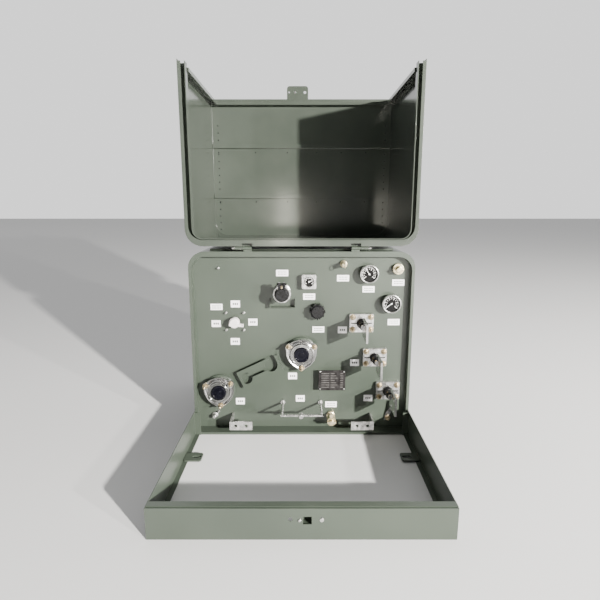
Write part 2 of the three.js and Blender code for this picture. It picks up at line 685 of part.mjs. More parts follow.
function bayonetFuse() {
  const [x, z] = FUSE;
  const stick = barY(x, z, STICK_RADIUS, FACE - HOLDER_FACE - 1, FACE + 130, 16);
  const seat = HOLDER_FACE + GAP;
  const cap = turned(x, z, [[0, seat], [29, seat], [29, 82], [24, 88], [0, 88]]);
  const latch = block(x - 14, x + 14, FACE - 84, FACE - HOLDER_FACE - 4, z + 20, z + 52);
  const eye = barX(FACE - 76, z + 44, 5, x - 20, x + 20, 10);
  const notch = block(x - 6, x + 6, FACE - 90, FACE - 60, z + 36, z + 60);
  return join(stick, cap, cut(latch, notch), eye);
}

// A shallow tray bent from one strip under the fuse: a floor and two upright cheeks.
const TRAY = { half: 54, bottom: 564, top: 600, reach: 24, thickness: 2 };

function dripTray() {
  const [x0, x1] = [FUSE[0] - TRAY.half, FUSE[0] + TRAY.half];
  const { bottom, top, reach, thickness } = TRAY;
  return cut(
    block(x0, x1, FACE - reach, FACE, bottom, top),
    block(x0 + thickness, x1 - thickness, FACE - reach - 1, FACE + 1, bottom + thickness, top + 1),
  );
}

add('fuse_holder', fuseHolder(), castMetal);
add('bayonet_fuse', bayonetFuse(), blackMoulding);
add('drip_tray', dripTray(), paint);

// ---- Gauges -----------------------------------------------------------------------------------------

// A round gauge is an open-faced case with its dial set back, and a needle on a short spindle.
function roundGauge([x, z], radius, stand) {
  const depth = stand + 22;
  return turned(x, z, [
    [0, GAP], [14, GAP], [14, stand], [radius - 4, stand], [radius, stand + 4], [radius, depth],
    [radius - 4, depth], [radius - 4, depth - 8], [0, depth - 8],
  ], 24);
}

function gaugeNeedle([x, z], length, out, angle) {
  const hub = new THREE.CylinderGeometry(3.2, 3.2, 2.4, 12);
  const pointer = new THREE.BoxGeometry(2.2, 1, length).translate(0, 0, length / 2 - length * 0.2);
  pointer.rotateY(angle);
  return join(solidOf(hub), solidOf(pointer)).translate([x, FACE - out, z]);
}

const GAUGES = [
  ['pressure_gauge', PRESSURE, 38, 12, -0.6],
  ['thermometer', THERMOMETER, 39, 12, -2.2],
];
for (const [name, place, radius, stand, angle] of GAUGES) {
  add(name, roundGauge(place, radius, stand), dial);
  add(`${name}_needle`, gaugeNeedle(place, radius * 0.8, stand + 14 + 2.4, angle), needle);
}

function levelGauge() {
  const [x, z] = LEVEL;
  const bezel = alongY(rectangle(60, 60, 6, x, z), FACE - 26, FACE - 12, 4);
  const body = barY(x, z, 24, FACE - 13, FACE - GAP, 24);
  const window = barY(x, z, 22, FACE - 27, FACE - 20, 24);
  return cut(join(bezel, body), window);
}

add('level_gauge', levelGauge(), zinc);
add('level_gauge_needle', gaugeNeedle(LEVEL, 16, 22, 1.2), needle);

// ---- Controls and small fittings ----------------------------------------------------------------------

// A knob with finger ribs round its edge, on a spindle through the panel.
function tapKnob() {
  const [x, z] = TAPS;
  const [radius, out, ribs] = [30, 40, 10];
  const body = turned(x, z, [
    [0, -40], [9, -40], [9, 6], [radius, 6], [radius, out - 6], [radius - 6, out], [0, out],
  ]);
  const grips = Array.from({ length: ribs }, (_, i) => {
    const angle = (i / ribs) * 2 * Math.PI;
    const [ribX, ribZ] = [x + radius * Math.cos(angle), z + radius * Math.sin(angle)];
    return barY(ribX, ribZ, 4, FACE - out + 5, FACE - 8, 6);
  });
  return join(body, ...grips);
}

// The switch is worked with a hook stick: a hub with a bar handle across it.
function switchHandle() {
  const [x, z] = SWITCH;
  const hub = turned(x, z, [[0, -60], [10, -60], [10, 10], [22, 12], [22, 34], [17, 40], [0, 40]]);
  const bar = new THREE.BoxGeometry(60, 12, 11).translate(11, 0, -6).rotateY(0.08);
  const grip = solidOf(bar).translate([x, FACE - 34, z]);
  const eye = barY(x + 35, z - 9, 3, FACE - 50, FACE - 20, 12);
  return cut(join(hub, grip), eye);
}

// The relief valve's ring is pulled straight out to vent the tank.
const RELIEF_TIP = 42;

function reliefValve() {
  const [x, z] = RELIEF;
  const body = turned(x, z, [
    [0, -20], [FITTING_HOLE - 2, -20], [FITTING_HOLE - 2, GAP], [15, GAP], [15, 12], [11, 14],
    [11, RELIEF_TIP], [0, RELIEF_TIP],
  ], 20);
  return cut(body, barY(x, z, 3.4, FACE - RELIEF_TIP - 1, FACE + 10, 12));
}

function reliefRing() {
  const [x, z] = RELIEF;
  const stem = barY(x, z, 3, FACE - RELIEF_TIP - 7, FACE - 20, 10);
  const head = barY(x, z, 8, FACE - RELIEF_TIP - 5, FACE - RELIEF_TIP - GAP, 16);
  const ring = new THREE.TorusGeometry(11, 1.6, 6, 14).rotateY(Math.PI / 2);
  const pull = solidOf(ring).translate([x, FACE - RELIEF_TIP - 16, z]);
  return join(stem, head, pull);
}

function fillPlug() {
  const [x, z] = FILL;
  const shank = barY(x, z, FITTING_HOLE - 2, FACE - 4, FACE + 18, 20);
  const flange = barY(x, z, 23, FACE - 18, FACE - GAP, 12);
  const neck = barY(x, z, 14, FACE - 30, FACE - 17, 20);
  const head = barY(x, z, 15, FACE - 42, FACE - 29, 4);
  return join(shank, flange, neck, head);
}

const DRAIN_TIP = 62;

function drainValve() {
  const [x, z] = DRAIN;
  const body = turned(x, z, [
    [0, -18], [FITTING_HOLE - 2, -18], [FITTING_HOLE - 2, GAP], [19, GAP], [19, 10], [15, 12], [15, 36],
    [19, 38], [19, DRAIN_TIP], [0, DRAIN_TIP],
  ], 20);
  const spout = barZ(x, FACE - 30, 8, z - 28, z, 12);
  return join(body, spout);
}

function drainHandle() {
  const [x, z] = DRAIN;
  const hub = barY(x, z, 9, FACE - DRAIN_TIP - 10, FACE - DRAIN_TIP - GAP, 12);
  const bar = block(x - 19, x + 19, FACE - DRAIN_TIP - 8, FACE - DRAIN_TIP - 3, z - 4, z + 4);
  return join(hub, bar);
}

add('tap_changer_knob', tapKnob(), blackMoulding);
add('switch_handle', switchHandle(), whiteMoulding);
add('relief_valve', reliefValve(), brass);
add('relief_ring', reliefRing(), brass);
add('fill_plug', fillPlug(), brass);
add('drain_valve', drainValve(), brass);
add('drain_handle', drainHandle(), brass);

// ---- Nameplate on its stand-off bracket -----------------------------------------------------------------

function nameplate() {
  const [x0, x1, z0, z1, stand] = [74, 190, 195, 287, 26];
  const bracket = [x0 + 6, x1 - 9].map((x) => block(x, x + 3, FACE - stand, FACE, z0 + 14, z1 - 14));
  return join(block(x0, x1, FACE - stand - 2, FACE - stand, z0, z1), ...bracket);
}

add('nameplate', nameplate(), etchedPlate);

export default transformer;
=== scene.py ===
import json
import math

import bmesh
import bpy
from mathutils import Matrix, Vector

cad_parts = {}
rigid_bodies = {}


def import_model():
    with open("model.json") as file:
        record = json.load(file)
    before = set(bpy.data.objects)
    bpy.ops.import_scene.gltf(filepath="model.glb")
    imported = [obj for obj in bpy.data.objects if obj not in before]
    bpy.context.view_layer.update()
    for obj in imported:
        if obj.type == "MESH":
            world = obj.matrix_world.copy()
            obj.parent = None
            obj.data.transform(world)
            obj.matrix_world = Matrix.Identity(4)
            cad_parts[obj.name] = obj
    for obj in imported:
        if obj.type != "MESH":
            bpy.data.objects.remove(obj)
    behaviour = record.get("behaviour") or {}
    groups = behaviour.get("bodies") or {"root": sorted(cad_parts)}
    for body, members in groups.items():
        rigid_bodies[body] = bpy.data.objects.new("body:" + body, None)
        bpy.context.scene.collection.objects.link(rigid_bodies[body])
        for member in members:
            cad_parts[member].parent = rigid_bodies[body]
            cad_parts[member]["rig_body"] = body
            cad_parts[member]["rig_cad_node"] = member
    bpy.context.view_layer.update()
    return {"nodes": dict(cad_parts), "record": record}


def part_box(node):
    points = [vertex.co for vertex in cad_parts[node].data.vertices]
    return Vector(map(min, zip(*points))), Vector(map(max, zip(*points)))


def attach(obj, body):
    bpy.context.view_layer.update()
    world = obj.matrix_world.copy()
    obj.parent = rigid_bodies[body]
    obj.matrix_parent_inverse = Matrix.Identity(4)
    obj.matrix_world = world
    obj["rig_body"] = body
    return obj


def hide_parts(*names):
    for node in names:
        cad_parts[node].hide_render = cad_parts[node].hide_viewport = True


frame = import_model()

# The floor, the camera and the lamps. The unit stands on a plain pale floor. Two low lamps on the
# right throw the fittings' shadows to the left, and a narrow lamp in front glints in the hood.
# The room's light is brighter behind the unit.

bpy.ops.object.select_all(action="DESELECT")
bpy.ops.mesh.primitive_plane_add(size=60, location=(0, 0, -0.0004))
floor = bpy.context.object
floor.name = "studio_floor"

white_floor = bpy.data.materials.new("white_floor")
white_floor.use_nodes = True
floor_nodes = white_floor.node_tree.nodes
floor_shader = floor_nodes["Principled BSDF"]
floor_shader.inputs["Roughness"].default_value = 0.9
floor_shader.inputs["Specular IOR Level"].default_value = 0.1
floor_noise = floor_nodes.new("ShaderNodeTexNoise")
floor_noise.inputs["Scale"].default_value = 3
floor_tone = floor_nodes.new("ShaderNodeValToRGB")
floor_tone.color_ramp.elements[0].color = (0.62, 0.62, 0.62, 1)
floor_tone.color_ramp.elements[1].color = (0.66, 0.66, 0.66, 1)
white_floor.node_tree.links.new(floor_noise.outputs["Fac"], floor_tone.inputs["Fac"])
white_floor.node_tree.links.new(floor_tone.outputs["Color"], floor_shader.inputs["Base Color"])
floor.data.materials.append(white_floor)

eye = bpy.data.cameras.new("camera")
eye.sensor_width = 36
eye.lens = 24.3
eye.shift_x = -0.0027
eye.shift_y = -0.0407
camera = bpy.data.objects.new("camera", eye)
camera.location = (0, -1.655, 0.990)
camera.rotation_euler = (math.radians(90 - 9.8), 0, 0)
bpy.context.collection.objects.link(camera)
bpy.context.scene.camera = camera

room = bpy.data.worlds.new("room")
bpy.context.scene.world = room
room.use_nodes = True
room_nodes, room_links = room.node_tree.nodes, room.node_tree.links
room_light = room_nodes["Background"]
room_way = room_nodes.new("ShaderNodeTexCoord")
room_split = room_nodes.new("ShaderNodeSeparateXYZ")
room_ramp = room_nodes.new("ShaderNodeValToRGB")
room_ramp.color_ramp.elements[0].position = 0.42
room_ramp.color_ramp.elements[0].color = (0.04, 0.04, 0.04, 1)
room_ramp.color_ramp.elements[1].position = 0.62
room_ramp.color_ramp.elements[1].color = (1, 1, 1, 1)
room_shift = room_nodes.new("ShaderNodeMapRange")
room_shift.inputs["From Min"].default_value = -1
room_links.new(room_way.outputs["Generated"], room_split.inputs["Vector"])
room_links.new(room_split.outputs["Y"], room_shift.inputs["Value"])
room_links.new(room_shift.outputs["Result"], room_ramp.inputs["Fac"])
room_links.new(room_ramp.outputs["Color"], room_light.inputs["Color"])
room_light.inputs["Strength"].default_value = 1.35


def lamp(name, place, target, width, height, watts, colour):
    light = bpy.data.lights.new(name, "AREA")
    light.shape = "RECTANGLE"
    light.size, light.size_y = width, height
    light.energy = watts
    light.color = colour
    holder = bpy.data.objects.new(name, light)
    holder.location = place
    aim = Vector(target) - Vector(place)
    holder.rotation_euler = aim.to_track_quat("-Z", "Y").to_euler()
    bpy.context.collection.objects.link(holder)


lamp("low_lamp", (4.75, -5.5, 2.4), (0, 0, 0.45), 0.2, 0.2, 3000, (1, 0.97, 0.92))
lamp("side_lamp", (5.8, -4.5, 2.05), (0, 0, 0.45), 0.2, 0.2, 600, (1, 0.97, 0.92))
lamp("strip_lamp", (-0.25, -3.5, 0.82), (0, 0.5, 0.95), 0.22, 0.7, 10, (1, 0.96, 0.82))
lamp("front_fill", (-2.2, -3.4, 2.6), (0, 0, 0.6), 2.5, 2.0, 10, (0.95, 0.98, 1))

# The tank: bent and welded 5 mm steel with a folded front rim, and a flat panel welded in behind the
# rim. All of it is powder coated in a satin grey-green with a fine orange peel.


def deselect():
    if bpy.context.object and bpy.context.object.mode != "OBJECT":
        bpy.ops.object.mode_set(mode="OBJECT")
    bpy.ops.object.select_all(action="DESELECT")


def choose(piece):
    deselect()
    piece.select_set(True)
    bpy.context.view_layer.objects.active = piece


def finish_edges(piece, edge, segments=2, angle=30):
    """Rounds the sharp edges and shades the rest smooth."""
    choose(piece)
    if edge:
        rounding = piece.modifiers.new("rounding", "BEVEL")
        rounding.width = edge
        rounding.segments = segments
        rounding.limit_method = "ANGLE"
        rounding.angle_limit = math.radians(angle)
        bpy.ops.object.modifier_apply(modifier="rounding")
    bpy.ops.object.shade_smooth_by_angle(angle=math.radians(angle + 8))


def mount(piece, body, material):
    """Keeps the wide faces flat beside their rounded edges, then fixes the piece to its body."""
    choose(piece)
    evening = piece.modifiers.new("evening", "WEIGHTED_NORMAL")
    evening.keep_sharp = True
    bpy.ops.object.modifier_apply(modifier="evening")
    piece.data.materials.clear()
    piece.data.materials.append(material)
    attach(piece, body)
    return piece


def eased(node, name, edge, material, segments=2, angle=30):
    """A copy of a frame node with its sharp edges rounded, which stands for that node."""
    source = frame["nodes"][node]
    body, slot = source["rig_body"], SLOT_OF[node]
    choose(source)
    bpy.ops.object.duplicate()
    piece = bpy.context.object
    piece.name = name
    piece.data.name = name
    del piece["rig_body"], piece["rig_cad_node"]
    piece.parent = None
    bpy.ops.mesh.customdata_custom_splitnormals_clear()
    bpy.ops.object.mode_set(mode="EDIT")
    bpy.ops.mesh.select_all(action="SELECT")
    bpy.ops.mesh.remove_doubles(threshold=0.00002)
    bpy.ops.mesh.tris_convert_to_quads(
        face_threshold=math.radians(0.5), shape_threshold=math.radians(180))
    bpy.ops.object.mode_set(mode="OBJECT")
    finish_edges(piece, edge, segments, angle)
    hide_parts(node)
    return mount(piece, body, material)


SLOT_OF = {part["node"]: part["material_slot"] for part in frame["record"]["subparts"]}


def new_material(name, roughness, metallic=0.0, specular=0.5):
    material = bpy.data.materials.new(name)
    material.use_nodes = True
    shader = material.node_tree.nodes["Principled BSDF"]
    shader.inputs["Roughness"].default_value = roughness
    shader.inputs["Metallic"].default_value = metallic
    shader.inputs["Specular IOR Level"].default_value = specular
    return material, shader


def noise_on(material, scale, detail=3, stretch=(1, 1, 1)):
    nodes, links = material.node_tree.nodes, material.node_tree.links
    place = nodes.new("ShaderNodeTexCoord")
    fit = nodes.new("ShaderNodeMapping")
    fit.inputs["Scale"].default_value = stretch
    noise = nodes.new("ShaderNodeTexNoise")
    noise.inputs["Scale"].default_value = scale
    noise.inputs["Detail"].default_value = detail
    links.new(place.outputs["Object"], fit.inputs["Vector"])
    links.new(fit.outputs["Vector"], noise.inputs["Vector"])
    return noise


def tint(material, shader, noise, low, high, start=0.35, end=0.65):
    """Blends two colours over the surface."""
    nodes, links = material.node_tree.nodes, material.node_tree.links
    ramp = nodes.new("ShaderNodeValToRGB")
    ramp.color_ramp.elements[0].position, ramp.color_ramp.elements[0].color = start, (*low, 1)
    ramp.color_ramp.elements[1].position, ramp.color_ramp.elements[1].color = end, (*high, 1)
    links.new(noise.outputs["Fac"], ramp.inputs["Fac"])
    links.new(ramp.outputs["Color"], shader.inputs["Base Color"])


def vary_gloss(material, shader, noise, low, high):
    nodes, links = material.node_tree.nodes, material.node_tree.links
    span = nodes.new("ShaderNodeMapRange")
    span.inputs["From Min"].default_value, span.inputs["From Max"].default_value = 0.3, 0.7
    span.inputs["To Min"].default_value, span.inputs["To Max"].default_value = low, high
    links.new(noise.outputs["Fac"], span.inputs["Value"])
    links.new(span.outputs["Result"], shader.inputs["Roughness"])


def roughen(material, shader, noise, strength, height):
    nodes, links = material.node_tree.nodes, material.node_tree.links
    bump = nodes.new("ShaderNodeBump")
    bump.inputs["Strength"].default_value = strength
    bump.inputs["Distance"].default_value = height
    links.new(noise.outputs["Fac"], bump.inputs["Height"])
    links.new(bump.outputs["Normal"], shader.inputs["Normal"])


def powder_coat(name, low, high, roughness, coat):
    material, shader = new_material(name, roughness)
    shader.inputs["Coat Weight"].default_value = coat
    shader.inputs["Coat Roughness"].default_value = 0.12
    tint(material, shader, noise_on(material, 4, 5), low, high)
    vary_gloss(material, shader, noise_on(material, 9, 2), roughness - 0.02, roughness + 0.03)
    roughen(material, shader, noise_on(material, 420, 2), 0.25, 0.0004)
    return material


tank_paint = powder_coat("tank_paint", (0.039, 0.050, 0.038), (0.047, 0.059, 0.045), 0.34, 0.15)

eased("tank_shell", "tank_wrapper", 0.0042, tank_paint, 4)
eased("tank_cover", "cover_plate", 0.0015, tank_paint)
eased("front_panel", "fittings_panel", 0, tank_paint)

# Core and coils inside the tank: stacked electrical steel, a copper low-voltage winding, and a
# high-voltage winding wrapped in oiled paper, held in a painted clamp frame.

core_sheet, core_shader = new_material("stacked_core_steel", 0.45, 0.7)
tint(core_sheet, core_shader, noise_on(core_sheet, 60, 2, (1, 40, 1)),
     (0.12, 0.13, 0.15), (0.2, 0.21, 0.23))
copper_wire, copper_shader = new_material("copper_wire", 0.35, 0.9)
tint(copper_wire, copper_shader, noise_on(copper_wire, 60, 2, (1, 1, 30)),
     (0.5, 0.22, 0.12), (0.66, 0.34, 0.2))
oiled_paper, paper_shader = new_material("oiled_paper", 0.8)
tint(oiled_paper, paper_shader, noise_on(oiled_paper, 40, 3, (1, 1, 12)),
     (0.38, 0.27, 0.14), (0.5, 0.37, 0.2))
for node, material in [("core_left", core_sheet), ("core_right", core_sheet),
                       ("low_voltage_winding", copper_wire), ("high_voltage_winding", oiled_paper),
                       ("core_clamp", tank_paint)]:
    frame["nodes"][node].data.materials.clear()
    frame["nodes"][node].data.materials.append(material)

# The ground sill: folded 3 mm steel around the cable opening, painted like the tank. A slotted tab
# lies inside either side for the anchor bolt, and the front has the holes for the hood's lock.

eased("sill_front", "sill_front_channel", 0.0007, tank_paint)
for side in ("left", "right"):
    eased(f"sill_{side}", f"sill_{side}_angle", 0.0007, tank_paint)
    eased(f"tie_down_{side}", f"anchor_tab_{side}", 0.0012, tank_paint)

# The hood: a bent 3 mm skin welded to a ribbed front plate, with a channel round its rear edge, a
# hem round its lower edge and a hasp. Its inside is painted in the same colour, a little glossier.

hood_paint = powder_coat("hood_paint", (0.037, 0.045, 0.036), (0.048, 0.057, 0.046), 0.22, 0.5)
eased("hood_shell", "hood_skin", 0.0008, hood_paint)
eased("hood_edge_frame", "hood_edge_channel", 0.0006, hood_paint)
eased("hood_hem", "hood_lower_hem", 0.0006, hood_paint)
eased("hood_hasp", "hood_lock_hasp", 0.0008, hood_paint)
for side in ("left", "right"):
    eased(f"hinge_hood_leaf_{side}", f"hood_hinge_leaf_{side}", 0.0005, hood_paint)
    eased(f"hinge_tank_leaf_{side}", f"tank_hinge_leaf_{side}", 0.0005, tank_paint)

# Hinge pins and the hood's captive bolt: zinc-plated steel with a faint grain.

zinc_plate, zinc_shader = new_material("zinc_plate", 0.3, 0.95)
tint(zinc_plate, zinc_shader, noise_on(zinc_plate, 90, 3), (0.48, 0.48, 0.46), (0.66, 0.66, 0.64))
vary_gloss(zinc_plate, zinc_shader, noise_on(zinc_plate, 60, 3), 0.22, 0.42)
for side in ("left", "right"):
    eased(f"hinge_pin_{side}", f"hinge_rod_{side}", 0.0004, zinc_plate)
eased("lock_bolt", "captive_lock_bolt", 0.0006, zinc_plate)

# Two high-voltage bushing wells on the left, each closed with a moulded shipping cap and held by a
# cast clamp plate on three studs.

cast_tin, tin_shader = new_material("cast_tin", 0.3, 0.9)
tint(cast_tin, tin_shader, noise_on(cast_tin, 70, 4), (0.42, 0.42, 0.41), (0.78, 0.77, 0.76))
vary_gloss(cast_tin, tin_shader, noise_on(cast_tin, 50, 4), 0.2, 0.42)
roughen(cast_tin, tin_shader, noise_on(cast_tin, 500, 3), 0.15, 0.0003)
polished_casting, casting_shader = new_material("polished_casting", 0.16, 0.95)
tint(polished_casting, casting_shader, noise_on(polished_casting, 30, 3),
     (0.34, 0.34, 0.34), (0.50, 0.495, 0.49))
vary_gloss(polished_casting, casting_shader, noise_on(polished_casting, 40, 3), 0.12, 0.22)
cap_moulding, cap_shader = new_material("cap_moulding", 0.2, 0, 0.16)
tint(cap_moulding, cap_shader, noise_on(cap_moulding, 80, 3), (0.002, 0.002, 0.004), (0.004, 0.004, 0.007))
tan_brass, tan_shader = new_material("nut_brass", 0.35, 0.85)
tint(tan_brass, tan_shader, noise_on(tan_brass, 90, 3), (0.30, 0.24, 0.15), (0.52, 0.44, 0.30))
PANEL_FACE = 0.030


def turned(name, x, z, steps, sides=32, edge=0.0006):
    """A turned piece standing out from the panel. A step is (radius, distance out), from the back."""
    (radius, start), (_, end) = steps[0], steps[1]
    deselect()
    bpy.ops.mesh.primitive_cylinder_add(
        vertices=sides, radius=radius, depth=end - start,
        location=(x, PANEL_FACE - (start + end) / 2, z), rotation=(math.pi / 2, 0, 0))
    piece = bpy.context.object
    piece.name = piece.data.name = name
    bpy.ops.object.transform_apply(location=True, rotation=True, scale=True)
    bpy.ops.object.mode_set(mode="EDIT")
    bpy.ops.mesh.select_mode(type="FACE")
    bpy.ops.mesh.select_all(action="DESELECT")
    mesh = bmesh.from_edit_mesh(piece.data)
    mesh.faces.ensure_lookup_table()
    cap = min(mesh.faces, key=lambda face: face.calc_center_median().y)
    cap.select_set(True)
    bmesh.update_edit_mesh(piece.data)
    last_radius, last_out = radius, end
    if steps[1][0] != radius:
        grow(x, z, end, steps[1][0] / radius)
        last_radius = steps[1][0]
    for radius, out in steps[2:]:
        bpy.ops.mesh.extrude_region_move(TRANSFORM_OT_translate={"value": (0, last_out - out, 0)})
        if abs(radius - last_radius) > 1e-6:
            grow(x, z, out, radius / last_radius)
        last_radius, last_out = radius, out
    bpy.ops.mesh.select_all(action="SELECT")
    bpy.ops.mesh.normals_make_consistent(inside=False)
    bpy.ops.object.mode_set(mode="OBJECT")
    finish_edges(piece, edge)
    return piece


def grow(x, z, out, ratio):
    bpy.ops.transform.resize(value=(ratio, 1, ratio), center_override=(x, PANEL_FACE - out, z))


def slab(name, low, high, corner, edge, axis=1):
    """A thin plate with rounded corners, lying square to one axis."""
    deselect()
    middle = [(a + b) / 2 for a, b in zip(low, high)]
    bpy.ops.mesh.primitive_cube_add(size=1, location=middle)
    piece = bpy.context.object
    piece.name = piece.data.name = name
    piece.scale = [b - a for a, b in zip(low, high)]
    bpy.ops.object.transform_apply(location=True, rotation=True, scale=True)
    if corner:
        bpy.ops.object.mode_set(mode="EDIT")
        bpy.ops.mesh.select_mode(type="EDGE")
        bpy.ops.mesh.select_all(action="DESELECT")
        mesh = bmesh.from_edit_mesh(piece.data)
        for line in mesh.edges:
            along = (line.verts[0].co - line.verts[1].co).normalized()
            line.select_set(abs(along[axis]) > 0.9)
        bmesh.update_edit_mesh(piece.data)
        bpy.ops.mesh.bevel(offset=corner, segments=5, affect="EDGES")
        bpy.ops.object.mode_set(mode="OBJECT")
    finish_edges(piece, edge)
    return piece


def copied(piece, dx, dz, dy=0.0):
    """Another of the same piece, moved over."""
    choose(piece)
    bpy.ops.object.duplicate()
    twin = bpy.context.object
    bpy.ops.object.mode_set(mode="EDIT")
    bpy.ops.mesh.select_all(action="SELECT")
    bpy.ops.transform.translate(value=(dx, dy, dz))
    bpy.ops.object.mode_set(mode="OBJECT")
    return twin


def joined(pieces, name):
    choose(pieces[0])
    for piece in pieces[1:]:
        piece.select_set(True)
    bpy.ops.object.join()
    whole = bpy.context.object
    whole.name = whole.data.name = name
    return whole


def at_places(piece, places, name):
    """The piece, made at the origin of the panel, put at each place and joined into one."""
    twins = [copied(piece, x, z) for x, z in places]
    bpy.data.objects.remove(piece)
    return joined(twins, name)


def stud_and_nut(x, z, seat, nut_radius=0.0085, stud=0.0045, length=0.018):
    washer_radius, washer_top = nut_radius * 1.35, seat + 0.0018
    washer = turned("washer", x, z, [(washer_radius, seat), (washer_radius, washer_top)], 20, 0.0003)
    nut = turned("nut", x, z, [
        (nut_radius, washer_top), (nut_radius, seat + 0.0085),
        (nut_radius * 0.86, seat + 0.0095)], 6, 0.0004)
    tip = turned("stud", x, z, [
        (stud, seat + 0.004), (stud, seat + length - 0.001), (stud * 0.75, seat + length)], 14, 0.0002)
    return joined([washer, nut, tip], "fastener")


for side, turn in (("left", 0.1), ("right", 0.0)):
    low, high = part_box(f"bushing_well_{side}")
    x, z = (low.x + high.x) / 2, (low.z + high.z) / 2
    plate = eased(f"bushing_clamp_{side}", f"clamp_plate_{side}", 0.0018, polished_casting, 3)
    choose(plate)
    bpy.ops.object.mode_set(mode="EDIT")
    bpy.ops.mesh.select_mode(type="FACE")
    bpy.ops.mesh.select_all(action="DESELECT")
    mesh = bmesh.from_edit_mesh(plate.data)
    front = min(vert.co.y for vert in mesh.verts)
    for face in mesh.faces:
        face.select_set(face.normal.y < -0.999 and face.calc_center_median().y < front + 0.0002)
    bmesh.update_edit_mesh(plate.data)
    bpy.ops.mesh.inset(thickness=0.004, depth=0)
    bpy.ops.mesh.inset(thickness=0.0018, depth=-0.002)
    bpy.ops.object.mode_set(mode="OBJECT")
    bpy.ops.object.shade_smooth_by_angle(angle=math.radians(38))
    well = turned(f"well_body_{side}", x, z, [
        (0.028, -0.07), (0.044, -0.04), (0.044, 0.0103), (0.0585, 0.0103), (0.0585, 0.020), (0.055, 0.0277),
        (0.047, 0.0277), (0.047, 0.030)], 40)
    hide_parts(f"bushing_well_{side}")
    mount(well, "tank", cast_tin)
    boss = turned(f"welded_boss_{side}", x, z, [(0.066, 0.0003), (0.066, 0.008), (0.064, 0.010)], 48, 0.001)
    mount(boss, "tank", tank_paint)
    collar = turned(f"clamp_collar_{side}", x, z, [
        (0.0470, 0.029), (0.0470, 0.044), (0.0455, 0.0465), (0.0425, 0.0465), (0.0415, 0.0445),
        (0.0385, 0.0445), (0.0375, 0.047), (0.0345, 0.047), (0.034, 0.043)], 48, 0.0004)
    mount(collar, "tank", polished_casting)
    cap = turned(f"shipping_cap_{side}", x, z, [
        (0.0325, 0.0425), (0.0325, 0.047), (0.0300, 0.0495), (0.0245, 0.0500), (0.0230, 0.0485),
        (0.0120, 0.0485), (0.0110, 0.0500), (0.0020, 0.0500)], 40, 0.0004)
    mount(cap, "tank", cap_moulding)
    ears = [
        stud_and_nut(x + 0.064 * math.cos(angle), z + 0.064 * math.sin(angle), 0.036, 0.0085, 0.005, 0.024)
        for angle in [math.radians(corner) + turn for corner in (30, 150, 270)]]
    mount(joined(ears, f"clamp_nuts_{side}"), "tank", tan_brass)

# Plug welds inside the hood: small dimples along both ribs and down the corners of its front plate. They are
# coloured near black as painted shade in the dimples.

HOOD_WALL = PANEL_FACE - 0.575
weld = turned("weld", 0, 0, [
    (0.0030, HOOD_WALL - 0.0005), (0.0030, HOOD_WALL + 0.0006), (0.0016, HOOD_WALL + 0.0009)], 12, 0)
along_ribs = [(0.08 + 0.13 * step, level)
              for level in (1.267, 1.010) for step in (-4, -2.5, -1.2, 0, 1, 2, 3)]
down_corners = [(side, 0.79 + 0.036 * step) for side in (-0.440, 0.440) for step in range(2, 18)]
welds = at_places(weld, along_ribs + down_corners, "hood_plug_weld_shade")
# The near-black moulding colour on the welds is painted shade, not the welds' own colour.
mount(welds, "hood", cap_moulding)

# The parking stand for cable elbows: one raised steel plate between the wells, with two open
# seats. It is painted like the tank.

eased("parking_stand", "elbow_parking_stand", 0.0008, tank_paint)

# Three low-voltage bushings on the right: a plated flange plate on four brass-nutted bolts, a ribbed
# black moulding, and a tinned copper spade with four holes.

black_rubber, rubber_shader = new_material("black_moulding", 0.26, 0, 0.25)
tint(black_rubber, rubber_shader, noise_on(black_rubber, 90, 3), (0.004, 0.004, 0.004), (0.010, 0.010, 0.011))
roughen(black_rubber, rubber_shader, noise_on(black_rubber, 700, 2), 0.1, 0.0002)
for name in ("x3", "x1", "x2"):
    low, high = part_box(f"flange_{name}")
    x, z = (low.x + high.x) / 2, (low.z + high.z) / 2
    eased(f"flange_{name}", f"bushing_plate_{name}", 0.0012, cast_tin)
    eased(f"spade_{name}", f"terminal_spade_{name}", 0.0008, polished_casting)
    body = turned(f"bushing_body_{name}", x, z, [
        (0.015, -0.046), (0.019, -0.02), (0.019, 0.0163), (0.0225, 0.0163), (0.0225, 0.022), (0.0180, 0.028),
        (0.0165, 0.030), (0.0165, 0.040), (0.0140, 0.042), (0.0140, 0.050), (0.0175, 0.052), (0.0175, 0.060),
        (0.0150, 0.066)], 12, 0.0005)
    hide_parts(f"insulator_{name}")
    mount(body, "tank", black_rubber)
    bolts = [stud_and_nut(x + dx, z + dz, 0.016, 0.0095, 0.0042, 0.020)
             for dx in (-0.038, 0.038) for dz in (-0.027, 0.027)]
    mount(joined(bolts, f"flange_nuts_{name}"), "tank", tan_brass)
    # Two black bars across the middle of each flange plate: painted shade standing for the dark inside the
    # plate's slots.
    slot_shade_bars = [slab("slot_shade_bars", (x + offset - 0.012, PANEL_FACE - 0.0166, z - 0.0022),
                 (x + offset + 0.012, PANEL_FACE - 0.0158, z + 0.0022), 0.001, 0.0002)
            for offset in (-0.033, 0.033)]
    mount(joined(slot_shade_bars, f"flange_slot_shade_{name}"), "tank", black_rubber)

# Grounding: a tinned copper strap from the neutral bushing to a stud, a rod on two legs for cable
# clamps, and a two-hole pad on either side.

eased("ground_strap", "neutral_strap", 0, polished_casting)
eased("ground_bus", "ground_rod", 0.0005, cast_tin)
for side in ("left", "right"):
    eased(f"ground_pad_{side}", f"grounding_pad_{side}", 0.0008, cast_tin)
low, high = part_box("ground_strap")
strap_bolt = stud_and_nut((low.x + high.x) / 2 - 0.008, low.z + 0.012, 0.006, 0.0095, 0.005, 0.02)
mount(strap_bolt, "tank", tan_brass)
strap_bolt.name = "strap_bolt"

# The bayonet fuse: a plated holder through the panel, a black draw-out cap with two prongs and a
# latch bolt, and a shallow drip tray under it.

